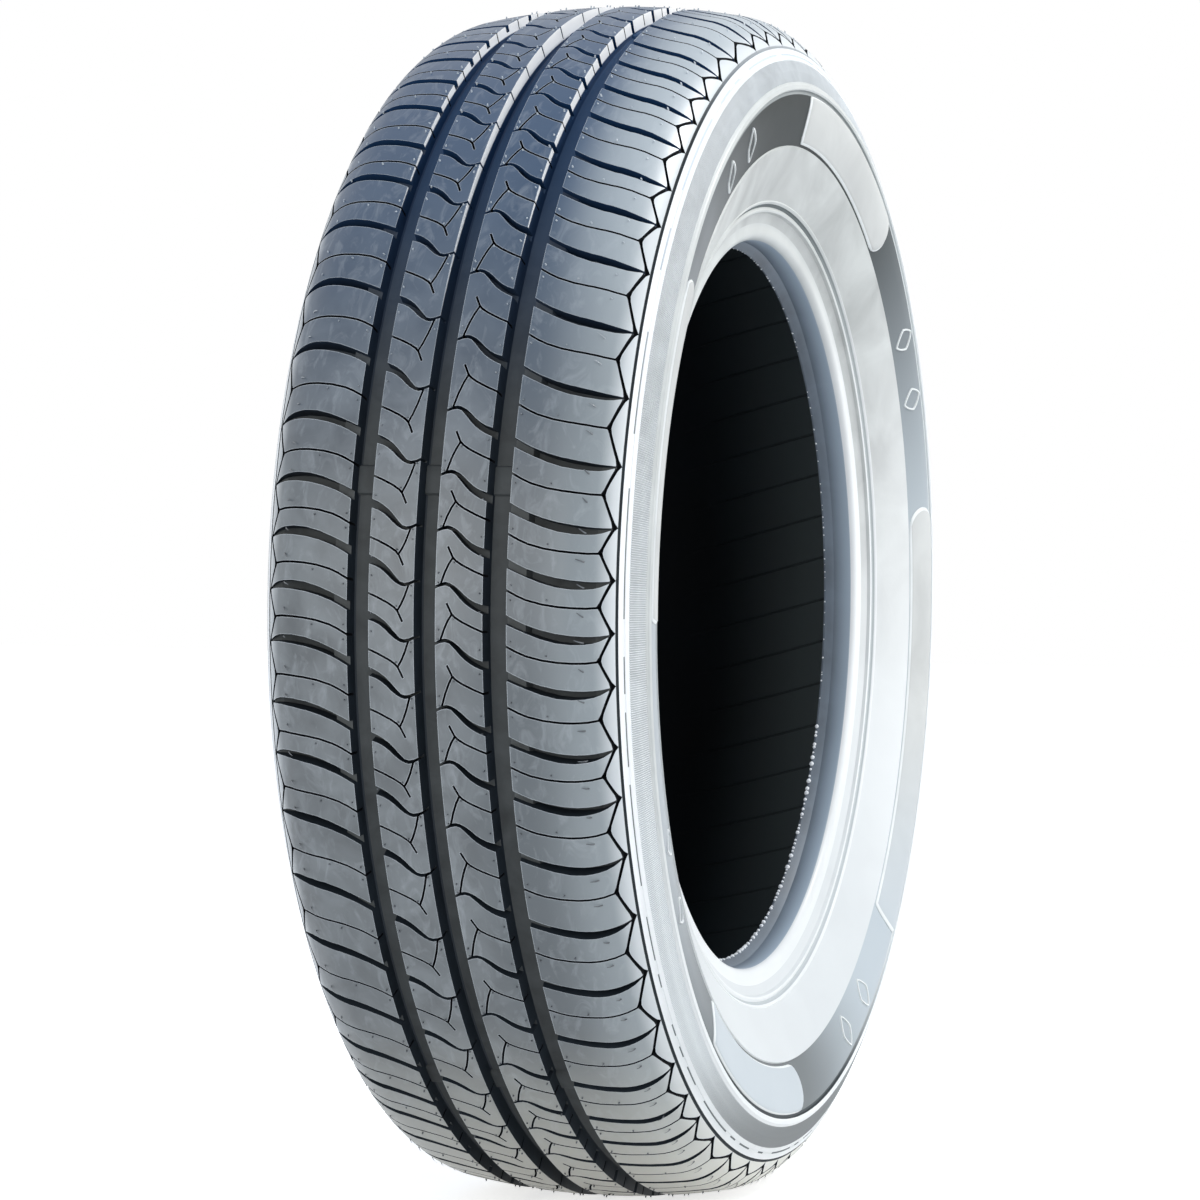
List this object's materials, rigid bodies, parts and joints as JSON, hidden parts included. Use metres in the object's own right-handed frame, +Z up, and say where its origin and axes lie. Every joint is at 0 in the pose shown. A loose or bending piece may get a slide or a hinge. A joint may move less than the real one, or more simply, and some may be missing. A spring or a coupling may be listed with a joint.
{
  "type": "car tyre",
  "caption": "Radial car tyre for a fifteen inch rim, with a grooved and siped tread, sunk sidewall bands and two bead seats.",
  "frame": {"origin": "middle of the tyre, on its spin axis midway between the beads", "axes": "+Y along the spin axis, +Z up; the tyre stands on its tread"},
  "size_m": [0.6214, 0.1896, 0.6204],
  "materials": {
    "tyre_rubber": "satin"
  },
  "bodies": {
    "root": {"tyre": "tyre_rubber"}
  },
  "joints": []
}
